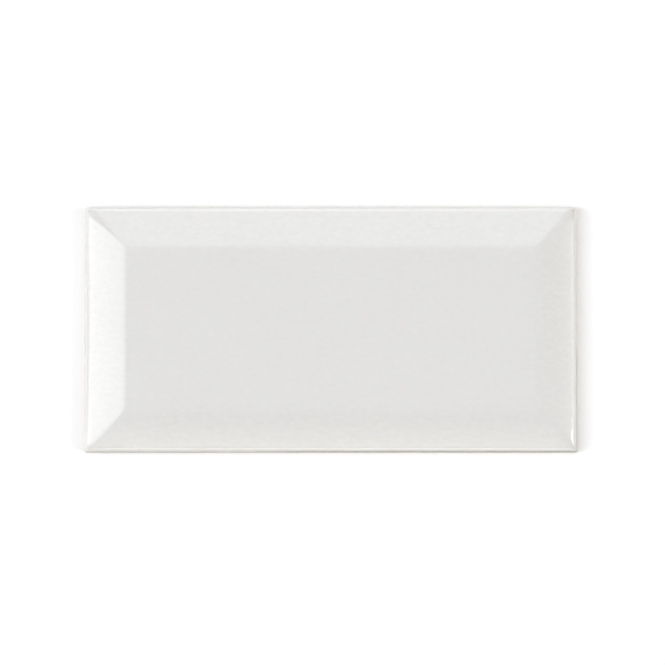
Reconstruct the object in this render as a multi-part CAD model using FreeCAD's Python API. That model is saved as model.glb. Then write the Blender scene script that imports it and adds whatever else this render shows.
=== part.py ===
import FreeCAD, Part
import math
import os

# Bevelled wall tile, one pressed and fired piece, in millimetres.
# It lies on its keyed back: X along the long side, Y along the short side, Z out of the glazed face.
# The origin is the middle of the back.

# Overall sizes
LENGTH = 150.0
WIDTH = 75.0
THICKNESS = 8.0

# Section of the face, taken square to an edge
EDGE_HEIGHT = 5.0        # back to the foot of the bevel
BEVEL_WIDTH = 12.5       # side wall to the line where bevel and field would meet
RIM_WIDTH = 1.8          # side wall to the foot of the bevel, the breadth of the rounded rim
BEVEL_CROWN = 0.25       # how far the middle of the bevel stands above its chord
ARRIS_RADIUS = 16.0      # soft turn from the bevel into the flat field
WALL_DRAFT = 6.0         # degrees that the side wall leans in towards the rim
HIP_RADIUS = 0.7         # mitred hips and wall corners

# Back
BACK_CHAMFER = 0.6
KEY_MARGIN = 5.0         # plain border round the keyed area
KEY_PITCH = 13.5         # wanted spacing of the recesses
KEY_RIB = 2.4            # land between neighbouring recesses
KEY_DEPTH = 0.7
KEY_DRAFT = 35.0         # degrees that a recess wall leans from upright
KEY_CORNER_RADIUS = 1.5  # leaning corners of a recess

TOLERANCE = 1e-5


def vector(x, y, z):
    return FreeCAD.Vector(x, y, z)


def on_circle(centre, radius, tilt):
    """Point of a section's circle where the outward normal leans by tilt from upright."""
    across = centre[0] + radius * math.sin(tilt)
    up = centre[1] + radius * math.cos(tilt)
    return across, up


def tilt_from(centre, point):
    """Lean from upright of the direction from a circle's centre to a point."""
    return math.atan2(point[0] - centre[0], point[1] - centre[1])


def edge_section(half_span):
    """Points of the face from the flat field to the foot of the wall, in a section of this half span.

    The points are, in order, the start, middle and end of the arris arc, the middle and end of the
    bevel arc, the middle and end of the rim arc, and the foot of the wall. Each is (distance from
    the middle, height). The wall is widest at the upper edge of the back chamfer.
    """
    shoulder = (half_span - BEVEL_WIDTH, THICKNESS)
    foot = (half_span - RIM_WIDTH, EDGE_HEIGHT)

    # The bevel is a flat arc through the shoulder and the foot, with the crown as its rise.
    chord = math.dist(shoulder, foot)
    bevel_radius = (chord ** 2 / 4 + BEVEL_CROWN ** 2) / (2 * BEVEL_CROWN)
    slope = math.atan2(THICKNESS - EDGE_HEIGHT, BEVEL_WIDTH - RIM_WIDTH)
    middle = ((shoulder[0] + foot[0]) / 2, (shoulder[1] + foot[1]) / 2)
    bevel_centre = on_circle(middle, BEVEL_CROWN - bevel_radius, slope)

    # The arris arc touches the field from below and lies inside the bevel's circle.
    arris_up = THICKNESS - ARRIS_RADIUS
    reach = bevel_radius - ARRIS_RADIUS
    arris_across = bevel_centre[0] + math.sqrt(reach ** 2 - (arris_up - bevel_centre[1]) ** 2)
    arris_centre = (arris_across, arris_up)
    arris_tilt = tilt_from(bevel_centre, arris_centre)

    # The rim arc carries on from the bevel at its foot and runs into the leaning side wall.
    draft = math.radians(WALL_DRAFT)
    wall_foot = (half_span + BACK_CHAMFER * math.sin(draft), 0)
    wall_tilt = math.pi / 2 - draft
    foot_tilt = tilt_from(bevel_centre, foot)
    room = wall_foot[0] - foot[0] - EDGE_HEIGHT * math.tan(draft)
    arc_across = math.sin(wall_tilt) - math.sin(foot_tilt)
    arc_down = math.cos(foot_tilt) - math.cos(wall_tilt)
    rim_radius = room / (arc_across - arc_down * math.tan(draft))
    rim_centre = on_circle(foot, -rim_radius, foot_tilt)

    return (
        on_circle(arris_centre, ARRIS_RADIUS, 0),
        on_circle(arris_centre, ARRIS_RADIUS, arris_tilt / 2),
        on_circle(arris_centre, ARRIS_RADIUS, arris_tilt),
        on_circle(bevel_centre, bevel_radius, (arris_tilt + foot_tilt) / 2),
        foot,
        on_circle(rim_centre, rim_radius, (foot_tilt + wall_tilt) / 2),
        on_circle(rim_centre, rim_radius, wall_tilt),
        wall_foot,
    )


def section_prism(span, run):
    """Solid of the tile's section, with its span along X and centred on the origin.

    It runs along Y a little past the given length on either side.
    """
    points = edge_section(span / 2)
    half_run = run / 2 + BACK_CHAMFER

    def place(point, side):
        return vector(side * point[0], -half_run, point[1])

    curves = []
    for side in (1, -1):
        field, arris, shoulder, bevel, foot, rim, wall, base = [place(point, side) for point in points]
        curves.append(Part.Arc(field, arris, shoulder))
        curves.append(Part.Arc(shoulder, bevel, foot))
        curves.append(Part.Arc(foot, rim, wall))
        curves.append(Part.LineSegment(wall, base))
    curves.append(Part.LineSegment(place(points[0], -1), place(points[0], 1)))
    curves.append(Part.LineSegment(place(points[-1], -1), place(points[-1], 1)))
    edges = Part.__sortEdges__([curve.toShape() for curve in curves])
    return Part.Face(Part.Wire(edges)).extrude(vector(0, 2 * half_run, 0))


def is_hip(edge):
    """True for an edge in an upright plane at 45 degrees through a corner of the outline."""
    middle = edge.valueAt((edge.FirstParameter + edge.LastParameter) / 2)
    points = [vertex.Point for vertex in edge.Vertexes] + [middle]
    insets = [(LENGTH / 2 - abs(point.x)) - (WIDTH / 2 - abs(point.y)) for point in points]
    return all(abs(inset) < TOLERANCE for inset in insets)


def is_back_outline(edge):
    return all(abs(vertex.Point.z) < TOLERANCE for vertex in edge.Vertexes)


def pressed_body():
    """The tile with its bevels, hips and rim, and a plain back.

    The long and the short section run through each other. Both have the same edge, so their faces
    meet in mitred hips, which are then rounded together with the wall corners below them.
    """
    across_length = section_prism(LENGTH, WIDTH)
    across_width = section_prism(WIDTH, LENGTH)
    across_width.rotate(vector(0, 0, 0), vector(0, 0, 1), 90)
    body = across_length.common(across_width).removeSplitter().Solids[0]
    body = body.makeFillet(HIP_RADIUS, [edge for edge in body.Edges if is_hip(edge)])
    return body.makeChamfer(BACK_CHAMFER, [edge for edge in body.Edges if is_back_outline(edge)])


def is_level(edge):
    return abs(edge.Vertexes[0].Point.z - edge.Vertexes[-1].Point.z) < TOLERANCE


def key_recess(length, width):
    """Tool for one drafted recess of this mouth, standing in the plane of the back."""
    inset = KEY_DEPTH * math.tan(math.radians(KEY_DRAFT))
    mouth_x = length / 2
    mouth_y = width / 2
    floor_x = mouth_x - inset
    floor_y = mouth_y - inset
    lowest = (-mouth_x, 0, -mouth_y, -floor_y, -floor_x)
    highest = (mouth_x, KEY_DEPTH, mouth_y, floor_y, floor_x)
    recess = Part.makeWedge(*lowest, *highest)
    recess.rotate(vector(0, 0, 0), vector(1, 0, 0), 90)
    return recess.makeFillet(KEY_CORNER_RADIUS, [edge for edge in recess.Edges if not is_level(edge)])


def recess_count(span, multiple):
    """Number of recesses along a span that comes nearest to the wanted spacing."""
    return multiple * max(1, round((span + KEY_RIB) / (KEY_PITCH * multiple)))


def key_recesses():
    """All recesses of the back, inside the plain border.

    The columns are an even number, so that a rib crosses the middle of the back.
    """
    keyed_length = LENGTH - 2 * KEY_MARGIN
    keyed_width = WIDTH - 2 * KEY_MARGIN
    columns = recess_count(keyed_length, 2)
    rows = recess_count(keyed_width, 1)
    mouth_length = (keyed_length + KEY_RIB) / columns - KEY_RIB
    mouth_width = (keyed_width + KEY_RIB) / rows - KEY_RIB
    recess = key_recess(mouth_length, mouth_width)
    recesses = []
    for column in range(columns):
        for row in range(rows):
            x = (column - (columns - 1) / 2) * (mouth_length + KEY_RIB)
            y = (row - (rows - 1) / 2) * (mouth_width + KEY_RIB)
            recesses.append(recess.translated(vector(x, y, 0)))
    return recesses


def bevelled_tile():
    return pressed_body().cut(key_recesses()).Solids[0]


os.makedirs("parts", exist_ok=True)
tile = bevelled_tile()
tile.exportStep("parts/bevelled_tile.step")
print("bevelled_tile", "valid" if tile.isValid() else "not valid", round(tile.Volume, 1), "mm3")
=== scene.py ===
import math

import bmesh
import bpy
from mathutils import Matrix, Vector, noise


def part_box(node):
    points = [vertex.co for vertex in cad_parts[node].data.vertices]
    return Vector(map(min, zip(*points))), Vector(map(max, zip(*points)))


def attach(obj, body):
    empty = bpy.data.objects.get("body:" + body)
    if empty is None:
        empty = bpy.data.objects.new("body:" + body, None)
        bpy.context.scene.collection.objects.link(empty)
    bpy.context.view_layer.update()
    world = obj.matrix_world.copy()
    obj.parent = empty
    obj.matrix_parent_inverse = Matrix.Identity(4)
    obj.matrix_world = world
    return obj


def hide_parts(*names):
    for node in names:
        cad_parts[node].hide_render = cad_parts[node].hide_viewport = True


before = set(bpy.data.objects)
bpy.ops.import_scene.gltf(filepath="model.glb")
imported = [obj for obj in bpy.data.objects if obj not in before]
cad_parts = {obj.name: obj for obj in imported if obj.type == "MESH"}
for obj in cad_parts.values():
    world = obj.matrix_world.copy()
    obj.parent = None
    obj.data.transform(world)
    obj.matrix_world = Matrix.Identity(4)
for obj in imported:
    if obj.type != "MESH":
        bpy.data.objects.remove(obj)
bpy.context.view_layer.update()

# Sizes are in metres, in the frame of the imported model.
MM = 0.001
NODE = "bevelled_tile"
low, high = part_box(NODE)
HALF_LENGTH = (high[0] - low[0]) / 2
HALF_WIDTH = (high[1] - low[1]) / 2
THICKNESS = high[2] - low[2]

# Section of the face, square to an edge
EDGE_HEIGHT = 5.0 * MM
BEVEL_WIDTH = 12.5 * MM
RIM_WIDTH = 1.8 * MM
BEVEL_CROWN = 0.25 * MM
ARRIS_RADIUS = 16.0 * MM
WALL_DRAFT = math.radians(6)
BACK_CHAMFER = 0.6 * MM

# Corners seen from above. A hip is softest at the foot of the bevel and crisp at the field.
WALL_CORNER = 0.7 * MM
RIM_CORNER = 1.9 * MM
HIP_CORNER = 0.4 * MM
FIELD_EASE = 2.0 * MM            # breadth over which the corner runs out in the field
CORNER_SAG = 0.3 * MM            # how far the face dips towards its four corners
CORNER_REACH = 3.5 * MM

# Back
KEY_MARGIN = 5.0 * MM
KEY_RIB = 2.4 * MM
KEY_DEPTH = 0.7 * MM
KEY_INSET = KEY_DEPTH * math.tan(math.radians(35))
KEY_CORNER_RADIUS = 1.5 * MM
KEY_EDGE_RADIUS = 0.15 * MM
KEY_COLUMNS = 10
KEY_ROWS = 5

# Glaze
GLAZE_BEAD = 0.09 * MM           # how far the end of the glaze stands off the wall
GLAZE_LINE = 2.3 * MM            # mean height on the wall where the glaze ends
LIGHT_SIDE = (-0.5, 0.9)    # side from which the light comes; the walls that face away from it show more bare biscuit, as painted shade
GLAZE_LINE_SHADE_RISE = 0.8 * MM       # how far the line rises on the walls that face away from that side, baring more biscuit there as painted shade
GLAZE_LINE_RAGGED = 0.35 * MM    # how far the line wanders along a wall
RAGGED_SLOW = 9.0 * MM           # length of its slow and of its quick turns
RAGGED_QUICK = 2.5 * MM
GLAZE_WAVE = 0.016 * MM          # depth of the slow waves in the fired surface
GLAZE_WAVELENGTH = 11.0 * MM
RIPPLE_RATIO = 2.7               # how many times shorter the small waves among them are
THIN_INSET = 0.9 * MM            # middle of the line round the rim where the glaze is thin
THIN_REACH = 0.3 * MM            # half breadth of that line
THIN_PATCH = 6.0 * MM            # length of its worn stretches
FLOW_END = 17.0 * MM             # inset where the mottling of the slopes has faded
FLOW_REACH = 8.0 * MM            # breadth over which it fades

# Fineness of the mesh
LONG_STEPS = 140
SHORT_STEPS = 66
CORNER_STEPS = 8
RIM_STEPS = 12
BEVEL_STEPS = 22
ARRIS_STEPS = 10
EASE_STEPS = 4
WALL_STEPS = 4
BEAD_STEPS = 3
TAPER_STEPS = 3
KEY_CORNER_STEPS = 4
SHARP_ANGLE = math.radians(38)   # edges that turn by more than this are shaded as sharp

GLAZED = 0
BARE = 1


def lerp(a, b, t):
    return a + (b - a) * t


def on_circle(centre, radius, tilt):
    """Point of a section's circle where the outward normal leans by tilt from upright."""
    return centre[0] + radius * math.sin(tilt), centre[1] + radius * math.cos(tilt)


def tilt_from(centre, point):
    """Lean from upright of the direction from a circle's centre to a point."""
    return math.atan2(point[0] - centre[0], point[1] - centre[1])


def hip_corner(inset):
    """Radius of the level corner at an inset on the bevel."""
    return lerp(RIM_CORNER, HIP_CORNER, (inset - RIM_WIDTH) / (BEVEL_WIDTH - RIM_WIDTH))


def face_stations():
    """(inset from the wall, height, level corner radius) from the top of the wall to the field."""
    shoulder = (-BEVEL_WIDTH, THICKNESS)
    foot = (-RIM_WIDTH, EDGE_HEIGHT)
    chord = math.dist(shoulder, foot)
    bevel_radius = (chord ** 2 / 4 + BEVEL_CROWN ** 2) / (2 * BEVEL_CROWN)
    slope = math.atan2(THICKNESS - EDGE_HEIGHT, BEVEL_WIDTH - RIM_WIDTH)
    middle = ((shoulder[0] + foot[0]) / 2, (shoulder[1] + foot[1]) / 2)
    bevel_centre = on_circle(middle, BEVEL_CROWN - bevel_radius, slope)
    arris_up = THICKNESS - ARRIS_RADIUS
    reach = bevel_radius - ARRIS_RADIUS
    arris_across = bevel_centre[0] + math.sqrt(reach ** 2 - (arris_up - bevel_centre[1]) ** 2)
    arris_centre = (arris_across, arris_up)
    arris_tilt = tilt_from(bevel_centre, arris_centre)

    foot_tilt = tilt_from(bevel_centre, foot)
    wall_tilt = math.pi / 2 - WALL_DRAFT
    room = BACK_CHAMFER * math.sin(WALL_DRAFT) + RIM_WIDTH - EDGE_HEIGHT * math.tan(WALL_DRAFT)
    arc_across = math.sin(wall_tilt) - math.sin(foot_tilt)
    arc_down = math.cos(foot_tilt) - math.cos(wall_tilt)
    rim_radius = room / (arc_across - arc_down * math.tan(WALL_DRAFT))
    rim_centre = on_circle(foot, -rim_radius, foot_tilt)

    stations = []
    for step in range(RIM_STEPS):
        t = step / RIM_STEPS
        across, up = on_circle(rim_centre, rim_radius, lerp(wall_tilt, foot_tilt, t))
        stations.append((-across, up, lerp(WALL_CORNER, RIM_CORNER, t)))
    for step in range(BEVEL_STEPS):
        t = step / BEVEL_STEPS
        across, up = on_circle(bevel_centre, bevel_radius, lerp(foot_tilt, arris_tilt, t))
        stations.append((-across, up, hip_corner(-across)))
    for step in range(ARRIS_STEPS + 1):
        t = step / ARRIS_STEPS
        across, up = on_circle(arris_centre, ARRIS_RADIUS, lerp(arris_tilt, 0, t))
        stations.append((-across, up, hip_corner(-across)))
    return stations


def on_corner(corner_x, corner_y, radius, turn, height):
    """Point of a level corner arc where it faces the angle turn."""
    return corner_x + radius * math.cos(turn), corner_y + radius * math.sin(turn), height


def ring_points(inset, radius, height):
    """Points round the tile at one inset and height, with level corners of this radius."""
    half_x = HALF_LENGTH - inset
    half_y = HALF_WIDTH - inset
    sides = (
        (half_x - radius, -half_y + radius, -math.pi / 2, (1, 0), 2 * (half_x - radius), LONG_STEPS),
        (half_x - radius, half_y - radius, 0, (0, 1), 2 * (half_y - radius), SHORT_STEPS),
        (-half_x + radius, half_y - radius, math.pi / 2, (-1, 0), 2 * (half_x - radius), LONG_STEPS),
        (-half_x + radius, -half_y + radius, math.pi, (0, -1), 2 * (half_y - radius), SHORT_STEPS),
    )
    points = []
    for corner_x, corner_y, start, along, run, steps in sides:
        out_x, out_y = math.cos(start), math.sin(start)
        for step in range(steps):
            back = run * (1 - step / steps)
            x = corner_x + radius * out_x - along[0] * back
            y = corner_y + radius * out_y - along[1] * back
            points.append((x, y, height))
        for step in range(CORNER_STEPS):
            turn = start + math.pi / 2 * step / CORNER_STEPS
            points.append(on_corner(corner_x, corner_y, radius, turn, height))
    return points


def corner_of(index):
    """Index of the point that a ring point joins where the level corners have run out to a sharp one."""
    start = 0
    for steps in (LONG_STEPS, SHORT_STEPS, LONG_STEPS, SHORT_STEPS):
        end = start + steps
        if end <= index < end + CORNER_STEPS:
            return end
        start = end + CORNER_STEPS
    return index


def add_ring(bm, points):
    return [bm.verts.new(point) for point in points]


def join_rings(bm, outer, inner, material):
    """Faces between two rings of the same count. Points that coincide give triangles."""
    count = len(outer)
    for index in range(count):
        after = (index + 1) % count
        corners = [outer[index], outer[after], inner[after], inner[index]]
        unique = [v for place, v in enumerate(corners) if v not in corners[:place]]
        if len(unique) > 2:
            face = bm.faces.new(unique)
            face.material_index = material


def glaze_line(x, y, facing):
    """Height at which the glaze ends on the wall, which wanders along the edge.

    It reaches further down the walls that face the light and ends higher on those that face away from it,
    so that more dark bare biscuit shows on the shaded walls as painted shade.
    """
    slow = noise.noise(Vector((x, y, 0)) / RAGGED_SLOW)
    quick = noise.noise(Vector((x, y, 2 * RAGGED_QUICK)) / RAGGED_QUICK)
    # Walls that face away from the light get a higher line and more bare biscuit: painted shade.
    away = -(LIGHT_SIDE[0] * facing[0] + LIGHT_SIDE[1] * facing[1])
    tilt = max(-1, min(1, away))
    return GLAZE_LINE + GLAZE_LINE_SHADE_RISE * tilt + GLAZE_LINE_RAGGED * (0.7 * slow + 0.3 * quick)


PROBE = 1.0 * MM                 # inset of a second outline, which gives the way into the tile


def wall_outlines():
    """Pairs of points on the widest outline of the wall and on the outline a probe's length further in."""
    return list(zip(ring_points(0, WALL_CORNER, 0), ring_points(PROBE, WALL_CORNER, 0)))


def wall_inset(height):
    """Inset of the leaning wall at a height."""
    return (height - BACK_CHAMFER * math.cos(WALL_DRAFT)) * math.tan(WALL_DRAFT)


def wall_ring(bm, heights, proud):
    """Ring on the wall at a height of its own for each point, standing proud of the wall."""
    points = []
    for (outer, inner), height in zip(wall_outlines(), heights):
        t = max(0, wall_inset(height) - proud) / PROBE
        points.append((lerp(outer[0], inner[0], t), lerp(outer[1], inner[1], t), height))
    return add_ring(bm, points)


def add_wall(bm, wall_top):
    """Rings of the wall from the back's edge up to the rim. Returns the lowest and the highest one."""
    back_inset = BACK_CHAMFER * (1 - math.sin(WALL_DRAFT))
    lowest = add_ring(bm, ring_points(back_inset, WALL_CORNER, 0))
    chamfer_top = BACK_CHAMFER * math.cos(WALL_DRAFT)
    ends = []
    for outer, inner in wall_outlines():
        facing = Vector((outer[0] - inner[0], outer[1] - inner[1])).normalized()
        ends.append(glaze_line(outer[0], outer[1], facing))
    rows = []
    for step in range(WALL_STEPS + 1):
        t = step / WALL_STEPS
        rows.append(([lerp(chamfer_top, end, t) for end in ends], 0, BARE))
    for step in range(1, BEAD_STEPS + 1):
        turn = math.pi / 2 * step / BEAD_STEPS
        rise = GLAZE_BEAD * (1 - math.cos(turn))
        rows.append(([end + rise for end in ends], GLAZE_BEAD * math.sin(turn), GLAZED))
    for step in range(1, TAPER_STEPS + 1):
        t = step / TAPER_STEPS
        heights = [lerp(end + GLAZE_BEAD, wall_top, t) for end in ends]
        rows.append((heights, GLAZE_BEAD * (1 - t), GLAZED))
    below = lowest
    for heights, proud, material in rows:
        ring = wall_ring(bm, heights, proud)
        join_rings(bm, below, ring, material)
        below = ring
    return lowest, below


def add_face(bm, first_ring, stations):
    """Rings from the rim over the bevel to the field, and the field's own grid."""
    below = first_ring
    for inset, height, radius in stations[1:]:
        ring = add_ring(bm, ring_points(inset, radius, height))
        join_rings(bm, below, ring, GLAZED)
        below = ring
    edge_inset, height, edge_radius = stations[-1]
    for step in range(1, EASE_STEPS):
        t = step / EASE_STEPS
        ring = add_ring(bm, ring_points(edge_inset + FIELD_EASE * t, edge_radius * (1 - t), height))
        join_rings(bm, below, ring, GLAZED)
        below = ring
    points = ring_points(edge_inset + FIELD_EASE, 0, height)
    sharp = {}
    ring = []
    for index, point in enumerate(points):
        place = corner_of(index)
        if place not in sharp:
            sharp[place] = bm.verts.new(point)
        ring.append(sharp[place])
    join_rings(bm, below, ring, GLAZED)
    add_field(bm, ring, points, height)


def add_field(bm, ring, points, height):
    """Grid of the flat field inside its innermost ring."""
    first = 0
    right = LONG_STEPS + CORNER_STEPS
    top = right + SHORT_STEPS + CORNER_STEPS
    left = top + LONG_STEPS + CORNER_STEPS
    rows = []
    for row in range(SHORT_STEPS + 1):
        line = []
        for column in range(LONG_STEPS + 1):
            if row == 0:
                vert = ring[first + column]
            elif row == SHORT_STEPS:
                vert = ring[top + LONG_STEPS - column]
            elif column == LONG_STEPS:
                vert = ring[right + row]
            elif column == 0:
                vert = ring[left + SHORT_STEPS - row]
            else:
                x = points[first + column][0]
                y = points[right + row][1]
                vert = bm.verts.new((x, y, height))
            line.append(vert)
        rows.append(line)
    for lower, upper in zip(rows, rows[1:]):
        for column in range(LONG_STEPS):
            corners = (lower[column], lower[column + 1], upper[column + 1], upper[column])
            bm.faces.new(corners).material_index = GLAZED


def recess_ring(centre, half_x, half_y, radius, height):
    """Points round a recess at one height."""
    points = []
    corners = ((1, -1, -math.pi / 2), (1, 1, 0), (-1, 1, math.pi / 2), (-1, -1, math.pi))
    for side_x, side_y, start in corners:
        corner_x = centre[0] + side_x * (half_x - radius)
        corner_y = centre[1] + side_y * (half_y - radius)
        for step in range(KEY_CORNER_STEPS + 1):
            turn = start + math.pi / 2 * step / KEY_CORNER_STEPS
            points.append(on_corner(corner_x, corner_y, radius, turn, height))
    return points


def add_recess(bm, centre, half_x, half_y):
    """One drafted recess with softened edges. Returns its mouth ring."""
    soft = KEY_EDGE_RADIUS
    rings = (
        (-soft, 0),
        (soft * 0.3, soft * 0.3),
        (KEY_INSET - soft * 0.6, KEY_DEPTH - soft * 0.6),
        (KEY_INSET + soft, KEY_DEPTH),
    )
    mouth = None
    above = None
    for inset, height in rings:
        radius = KEY_CORNER_RADIUS - inset
        ring = add_ring(bm, recess_ring(centre, half_x - inset, half_y - inset, radius, height))
        if above is None:
            mouth = ring
        else:
            join_rings(bm, ring, above, BARE)
        above = ring
    floor = bm.faces.new(list(reversed(above)))
    floor.material_index = BARE
    return mouth


def ring_edges(bm, ring):
    edges = []
    for vert, after in zip(ring, ring[1:] + ring[:1]):
        edges.append(bm.edges.get((vert, after)) or bm.edges.new((vert, after)))
    return edges


def add_back(bm, outline):
    """The keyed back: recesses in rows and columns, and the land between them."""
    pitch_x = (2 * (HALF_LENGTH - KEY_MARGIN) + KEY_RIB) / KEY_COLUMNS
    pitch_y = (2 * (HALF_WIDTH - KEY_MARGIN) + KEY_RIB) / KEY_ROWS
    half_x = (pitch_x - KEY_RIB) / 2
    half_y = (pitch_y - KEY_RIB) / 2
    edges = ring_edges(bm, outline)
    for column in range(KEY_COLUMNS):
        for row in range(KEY_ROWS):
            centre = ((column - (KEY_COLUMNS - 1) / 2) * pitch_x, (row - (KEY_ROWS - 1) / 2) * pitch_y)
            edges += ring_edges(bm, add_recess(bm, centre, half_x, half_y))
    filled = bmesh.ops.triangle_fill(bm, use_beauty=True, edges=edges, normal=(0, 0, -1))
    for item in filled["geom"]:
        if isinstance(item, bmesh.types.BMFace):
            item.material_index = BARE


def sag_corners(bm):
    """Lets the face dip towards its corners. The walls below the rim stay as they are."""
    for vert in bm.verts:
        away = math.hypot(HALF_LENGTH - abs(vert.co.x), HALF_WIDTH - abs(vert.co.y))
        share = max(0, min(1, (vert.co.z - 0.5 * EDGE_HEIGHT) / (0.5 * EDGE_HEIGHT)))
        vert.co.z -= share * CORNER_SAG * math.exp(-(away / CORNER_REACH) ** 2)


def wave_glaze(bm):
    """Lets the glazed surface sink and swell a little, as a fired glaze does. It never stands proud."""
    bm.normal_update()
    moves = []
    for vert in bm.verts:
        if not all(face.material_index == GLAZED for face in vert.link_faces):
            continue
        place = vert.co / GLAZE_WAVELENGTH
        wave = 0.75 * noise.noise(place) + 0.25 * noise.noise(place * RIPPLE_RATIO)
        moves.append((vert, vert.normal * (-GLAZE_WAVE * (0.5 + 0.5 * wave))))
    for vert, move in moves:
        vert.co += move


def mark_glaze(mesh):
    """Stores how far each point lies on a slope of the face, and how thin the glaze is there."""
    flow = []
    thin = []
    for vert in mesh.vertices:
        inset = min(HALF_LENGTH - abs(vert.co.x), HALF_WIDTH - abs(vert.co.y))
        flow.append(max(0, min(1, (FLOW_END - inset) / FLOW_REACH)))
        worn = 0.6 + 0.8 * noise.noise(vert.co / THIN_PATCH)
        thin.append(max(0, worn) * math.exp(-((inset - THIN_INSET) / THIN_REACH) ** 2))
    mesh.attributes.new("glaze_flow", "FLOAT", "POINT").data.foreach_set("value", flow)
    mesh.attributes.new("glaze_thin", "FLOAT", "POINT").data.foreach_set("value", thin)


def build_tile():
    stations = face_stations()
    bm = bmesh.new()
    lowest, rim = add_wall(bm, stations[0][1])
    add_face(bm, rim, stations)
    add_back(bm, lowest)
    bmesh.ops.recalc_face_normals(bm, faces=bm.faces)
    sag_corners(bm)
    wave_glaze(bm)
    for face in bm.faces:
        face.smooth = True
    mesh = bpy.data.meshes.new("glazed_tile")
    bm.to_mesh(mesh)
    bm.free()
    mesh.set_sharp_from_angle(angle=SHARP_ANGLE)
    mark_glaze(mesh)
    tile = bpy.data.objects.new("glazed_tile", mesh)
    bpy.context.scene.collection.objects.link(tile)
    return tile


def node(tree, kind, **inputs):
    """Adds a shader node and sets its inputs by name."""
    made = tree.nodes.new(kind)
    for name, value in inputs.items():
        made.inputs[name].default_value = value
    return made


def ramp(tree, source, stops):
    """Colour ramp over a value, from (position, colour) pairs."""
    made = tree.nodes.new("ShaderNodeValToRGB")
    elements = made.color_ramp.elements
    while len(elements) < len(stops):
        elements.new(0.5)
    for element, (position, colour) in zip(elements, stops):
        element.position = position
        element.color = (*colour, 1)
    tree.links.new(source, made.inputs["Fac"])
    return made.outputs["Color"]


def new_material(name):
    material = bpy.data.materials.new(name)
    material.use_nodes = True
    tree = material.node_tree
    return material, tree, tree.nodes["Principled BSDF"]


def math_node(tree, operation, first, second=0.0):
    """Result of an operation on two values, each of which is a socket or a number."""
    made = tree.nodes.new("ShaderNodeMath")
    made.operation = operation
    for socket, value in zip(made.inputs, (first, second)):
        if isinstance(value, (int, float)):
            socket.default_value = value
        else:
            tree.links.new(value, socket)
    return made.outputs["Value"]


def map_range(tree, value, start, end, low, high):
    """Value carried over from one range to another and held at its ends."""
    made = tree.nodes.new("ShaderNodeMapRange")
    for name, number in (("From Min", start), ("From Max", end), ("To Min", low), ("To Max", high)):
        made.inputs[name].default_value = number
    tree.links.new(value, made.inputs["Value"])
    return made.outputs["Result"]


def attribute(tree, name):
    """Value stored on the mesh under a name."""
    made = tree.nodes.new("ShaderNodeAttribute")
    made.attribute_name = name
    return made.outputs["Fac"]


def add_shaders(tree, first, second):
    """Sum of two shaders."""
    made = tree.nodes.new("ShaderNodeAddShader")
    tree.links.new(first, made.inputs[0])
    tree.links.new(second, made.inputs[1])
    return made.outputs["Shader"]


def texture(tree, kind, lengthen=1.0, **inputs):
    """Texture node laid out in the tile's own coordinates, and lengthened along the tile."""
    made = node(tree, kind, **inputs)
    coordinates = tree.nodes.new("ShaderNodeTexCoord")
    mapping = node(tree, "ShaderNodeMapping", Scale=(1 / lengthen, 1, 1))
    tree.links.new(coordinates.outputs["Object"], mapping.inputs["Vector"])
    tree.links.new(mapping.outputs["Vector"], made.inputs["Vector"])
    return made


def tinted(tree, colour, tint, amount):
    """A colour with an amount of a plain tint mixed into it."""
    made = tree.nodes.new("ShaderNodeMix")
    made.data_type = "RGBA"
    made.inputs["B"].default_value = tint
    tree.links.new(amount, made.inputs["Factor"])
    tree.links.new(colour, made.inputs["A"])
    return made.outputs["Result"]


# White glaze. Scales of textures are in features to the metre.
GLAZE_DARK = (0.725, 0.719, 0.704)
GLAZE_LIGHT = (0.765, 0.761, 0.746)
GLAZE_ROUGHNESS = (0.05, 0.09)
GLAZE_IOR = 1.58
SHEEN_SCALE = 120.0
CLOUD_SCALE = 70.0
CLOUD_SHARE = 0.25
MOTTLE_SCALE = 900.0
MOTTLE_LENGTH = 2.0              # how much longer the mottling is along the tile than across it
MOTTLE_GAIN = (0.4, 0.8)         # its strength on the field and on the slopes
PEEL_SCALE = 650.0
PEEL_HEIGHT = 0.01 * MM
THIN_TINT = (0.72, 0.60, 0.50, 1)
THIN_SHARE = 0.25
SPECK_TINT = (0.42, 0.38, 0.33, 1)
SPECK_SCALE = 670.0
SPECK_SHARE = 0.08               # share of the cells that hold a speck
SPECK_EDGE = (0.08, 0.22)        # where a speck begins to fade and has faded, in cells
SPECK_DEPTH = 0.12


def glaze_colour(tree):
    """White glaze, mottled where it has run on the slopes, rosy where it is thin, with a few specks."""
    flow = attribute(tree, "glaze_flow")
    cloud = texture(tree, "ShaderNodeTexNoise", Scale=CLOUD_SCALE, Detail=2.0).outputs["Fac"]
    runs = texture(tree, "ShaderNodeTexNoise", MOTTLE_LENGTH, Scale=MOTTLE_SCALE, Detail=1.0)
    mottle = runs.outputs["Fac"]
    gain = map_range(tree, flow, 0.0, 1.0, *MOTTLE_GAIN)
    spread = math_node(tree, "MULTIPLY", math_node(tree, "SUBTRACT", mottle, 0.5), gain)
    slow = math_node(tree, "MULTIPLY", cloud, CLOUD_SHARE)
    level = math_node(tree, "ADD", math_node(tree, "ADD", spread, slow), 0.5 - 0.5 * CLOUD_SHARE)
    body = ramp(tree, level, ((0.25, GLAZE_DARK), (0.75, GLAZE_LIGHT)))

    thin = math_node(tree, "MULTIPLY", attribute(tree, "glaze_thin"), THIN_SHARE)
    body = tinted(tree, body, THIN_TINT, thin)

    cells = texture(tree, "ShaderNodeTexVoronoi", Scale=SPECK_SCALE)
    split = tree.nodes.new("ShaderNodeSeparateColor")
    tree.links.new(cells.outputs["Color"], split.inputs["Color"])
    chosen = math_node(tree, "GREATER_THAN", split.outputs["Red"], 1 - SPECK_SHARE)
    near = map_range(tree, cells.outputs["Distance"], *SPECK_EDGE, SPECK_DEPTH, 0.0)
    return tinted(tree, body, SPECK_TINT, math_node(tree, "MULTIPLY", chosen, near))


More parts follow.
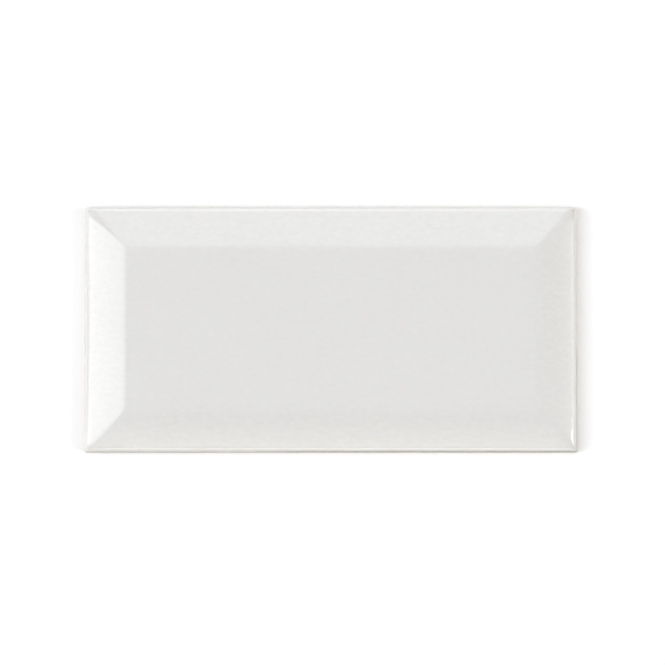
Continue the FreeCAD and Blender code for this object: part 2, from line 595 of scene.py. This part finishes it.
def glaze_material():
    material, tree, shader = new_material("white_glaze")
    link = tree.links.new
    link(glaze_colour(tree), shader.inputs["Base Color"])

    peel = texture(tree, "ShaderNodeTexNoise", Scale=PEEL_SCALE, Detail=1.0)
    bump = node(tree, "ShaderNodeBump", Strength=1.0, Distance=PEEL_HEIGHT)
    link(peel.outputs["Fac"], bump.inputs["Height"])
    link(bump.outputs["Normal"], shader.inputs["Normal"])

    sheen = texture(tree, "ShaderNodeTexNoise", Scale=SHEEN_SCALE, Detail=2.0)
    link(map_range(tree, sheen.outputs["Fac"], 0.3, 0.7, *GLAZE_ROUGHNESS), shader.inputs["Roughness"])
    shader.inputs["IOR"].default_value = GLAZE_IOR
    return material


# Bare biscuit
BISCUIT_DARK = (0.40, 0.355, 0.30)
BISCUIT_LIGHT = (0.53, 0.48, 0.41)
BISCUIT_ROUGHNESS = 0.9
GRAIN_SCALE = 900.0
GRAIN_HEIGHT = 0.06 * MM


def biscuit_material():
    material, tree, shader = new_material("bare_biscuit")
    link = tree.links.new
    grain = texture(tree, "ShaderNodeTexNoise", Scale=GRAIN_SCALE, Detail=4.0).outputs["Fac"]
    link(ramp(tree, grain, ((0.3, BISCUIT_DARK), (0.7, BISCUIT_LIGHT))), shader.inputs["Base Color"])
    bump = node(tree, "ShaderNodeBump", Strength=1.0, Distance=GRAIN_HEIGHT)
    link(grain, bump.inputs["Height"])
    link(bump.outputs["Normal"], shader.inputs["Normal"])
    shader.inputs["Roughness"].default_value = BISCUIT_ROUGHNESS
    return material


# Ground
FLOOR_HALF = 3.0
FLOOR_COLOUR = (0.95, 0.95, 0.95, 1)
FLOOR_LIFT = 0.095               # the ground's own light, which makes it white around the tile


def seen_directly(tree):
    """1 for rays that show a background: those from the camera, and those by way of gloss or glass."""
    path = tree.nodes.new("ShaderNodeLightPath")
    shown = path.outputs["Is Camera Ray"]
    for name in ("Is Glossy Ray", "Is Transmission Ray"):
        shown = math_node(tree, "MAXIMUM", shown, path.outputs[name])
    return shown


def ground_material():
    material = bpy.data.materials.new("white_ground")
    material.use_nodes = True
    tree = material.node_tree
    tree.nodes.clear()
    paper = node(tree, "ShaderNodeBsdfDiffuse", Color=FLOOR_COLOUR)
    lift = node(tree, "ShaderNodeEmission", Color=(1, 1, 1, 1))
    amount = math_node(tree, "MULTIPLY", seen_directly(tree), FLOOR_LIFT)
    tree.links.new(amount, lift.inputs["Strength"])
    output = tree.nodes.new("ShaderNodeOutputMaterial")
    surface = add_shaders(tree, paper.outputs["BSDF"], lift.outputs["Emission"])
    tree.links.new(surface, output.inputs["Surface"])
    return material


def build_floor():
    mesh = bpy.data.meshes.new("floor")
    corners = [(x * FLOOR_HALF, y * FLOOR_HALF, 0) for x, y in ((-1, -1), (1, -1), (1, 1), (-1, 1))]
    mesh.from_pydata(corners, [], [(0, 1, 2, 3)])
    mesh.materials.append(ground_material())
    floor = bpy.data.objects.new("floor", mesh)
    bpy.context.scene.collection.objects.link(floor)


# Lights are white, or a little warm or cool.
NEUTRAL = (1.0, 1.0, 1.0)
WARM = (1.0, 0.98, 0.93)
COOL = (0.98, 0.99, 1.02)

# A colour ramp holds levels of light as shares of this one.
LIGHT_SCALE = 10.0

LAMP_DISTANCE = 6.0


def light_ramp(tree, place, tint, levels):
    """Ramp over a place, from (place, level) pairs of light in one tint."""
    stops = [(stop, [level * part / LIGHT_SCALE for part in tint]) for stop, level in levels]
    return ramp(tree, place, stops)


def softbox(name, tint, azimuth, span, length, y, levels):
    """Soft rectangular lamp. Seen from the origin, its breadth spans two angles off upright, in degrees.

    Its length lies level. It is then moved along Y. Its levels are its radiance at the ends of the span.
    """
    inner, outer = (math.radians(angle) for angle in span)
    middle = (inner + outer) / 2
    breadth = 2 * LAMP_DISTANCE * math.tan((outer - inner) / 2)
    heading = math.radians(azimuth)
    away = Vector((math.cos(heading), math.sin(heading), 0))
    reach = (away * math.sin(middle) + Vector((0, 0, math.cos(middle)))) * LAMP_DISTANCE
    light = bpy.data.lights.new(name, "AREA")
    light.shape = "RECTANGLE"
    light.size = length
    light.size_y = breadth
    light.energy = math.pi * length * breadth
    light.use_nodes = True
    tree = light.node_tree
    place = tree.nodes.new("ShaderNodeNewGeometry")
    split = tree.nodes.new("ShaderNodeSeparateXYZ")
    tree.links.new(place.outputs["Parametric"], split.inputs["Vector"])
    colour = light_ramp(tree, split.outputs["Y"], tint, ((0, levels[1]), (1, levels[0])))
    emission = tree.nodes["Emission"]
    emission.inputs["Strength"].default_value = LIGHT_SCALE
    tree.links.new(colour, emission.inputs["Color"])
    lamp = bpy.data.objects.new(name, light)
    lamp.location = Vector((0, y, 0)) + reach
    lamp.rotation_euler = (-reach).to_track_quat("-Z", "Y").to_euler()
    bpy.context.scene.collection.objects.link(lamp)


def build_lamps():
    """Lamps, named by where they stand. The two fills keep the hips on the right from going dark."""
    softbox("left_softbox", COOL, azimuth=180, span=(14, 48), length=3.9, y=-0.65, levels=(1.9, 4.0))
    softbox("near_right_lamp", NEUTRAL, azimuth=0, span=(46, 60), length=2.4, y=-1.0, levels=(8.0, 8.0))
    softbox("near_right_fill", NEUTRAL, azimuth=-45, span=(15, 50), length=1.2, y=0, levels=(0.4, 1.4))
    softbox("far_right_fill", NEUTRAL, azimuth=45, span=(15, 56), length=1.2, y=0, levels=(0.4, 2.0))
    softbox("near_left_lamp", NEUTRAL, azimuth=180, span=(47, 86), length=2.8, y=-1.05, levels=(3.1, 3.1))
    softbox("far_left_lamp", NEUTRAL, azimuth=180, span=(47, 86), length=1.9, y=1.5, levels=(2.4, 2.4))


# Pale walls and ceiling of the room: the way to each, its tint, and its light in (place, level) pairs.
# A place is the share of a direction that points that way, so 1 is straight at it.
WALLS = {
    "ceiling": ((0, 0, 1), NEUTRAL, ((0.95, 0.0), (0.99, 0.3))),
    "right": ((1, 0, 0), WARM, ((0.2, 0.0), (0.3, 0.5), (0.6, 0.8), (0.9, 4.0), (1.0, 2.0))),
    "left": ((-1, 0, 0), NEUTRAL, ((0.7, 0.0), (0.8, 3.5), (0.9, 0.8), (1.0, 0.8))),
    "far": ((0, 1, 0), COOL, ((0.2, 0.0), (0.3, 1.5), (0.85, 1.4), (1.0, 5.5))),
    "near": ((0, -1, 0), WARM, ((0.4, 0.0), (0.7, 1.8), (0.85, 0.0), (0.95, 0.0), (1.0, 8.0))),
}
WALL_FULL = 0.13                 # sideways reach of a wall's light
WALL_END = 0.22                  # where it has faded out


def component(tree, direction, axis):
    """Part of a direction that lies along an axis."""
    made = tree.nodes.new("ShaderNodeVectorMath")
    made.operation = "DOT_PRODUCT"
    made.inputs[1].default_value = axis
    tree.links.new(direction, made.inputs[0])
    return made.outputs["Value"]


def wall_light(tree, direction, outward, tint, levels):
    """Light of one wall, which fades out to its sides."""
    wall = tree.nodes.new("ShaderNodeBackground")
    colour = light_ramp(tree, component(tree, direction, outward), tint, levels)
    tree.links.new(colour, wall.inputs["Color"])
    sideways = (-outward[1], outward[0], 0)
    aside = math_node(tree, "ABSOLUTE", component(tree, direction, sideways))
    fade = map_range(tree, aside, WALL_FULL, WALL_END, LIGHT_SCALE, 0.0)
    fade.node.interpolation_type = "SMOOTHSTEP"
    tree.links.new(fade, wall.inputs["Strength"])
    return wall.outputs["Background"]


def build_world():
    world = bpy.data.worlds.new("studio")
    world.use_nodes = True
    tree = world.node_tree
    tree.nodes.clear()
    direction = tree.nodes.new("ShaderNodeTexCoord").outputs["Generated"]
    output = tree.nodes.new("ShaderNodeOutputWorld")
    walls = [wall_light(tree, direction, *wall) for wall in WALLS.values()]
    room = walls[0]
    for wall in walls[1:]:
        room = add_shaders(tree, room, wall)
    tree.links.new(room, output.inputs["Surface"])
    bpy.context.scene.world = world


# Camera
CAMERA_DISTANCE = 1.4
CAMERA_LEAN = math.radians(4.4)  # from straight above towards the near long side
FRAME_WIDTH = 202.2 * MM         # breadth of the picture at the tile
AIM = (0.46 * MM, -1.18 * MM, 5.0 * MM)
SENSOR = 36.0


def build_camera():
    data = bpy.data.cameras.new("camera")
    data.sensor_width = SENSOR
    data.lens = SENSOR * CAMERA_DISTANCE / FRAME_WIDTH
    camera = bpy.data.objects.new("camera", data)
    reach = Vector((0, -math.sin(CAMERA_LEAN), math.cos(CAMERA_LEAN))) * CAMERA_DISTANCE
    camera.location = Vector(AIM) + reach
    camera.rotation_euler = (CAMERA_LEAN, 0, 0)
    bpy.context.scene.collection.objects.link(camera)
    bpy.context.scene.camera = camera


tile = build_tile()
tile.data.materials.append(glaze_material())
tile.data.materials.append(biscuit_material())
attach(tile, "root")
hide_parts(NODE)

build_floor()
build_world()
build_lamps()
build_camera()
bpy.context.scene.view_settings.view_transform = "Standard"
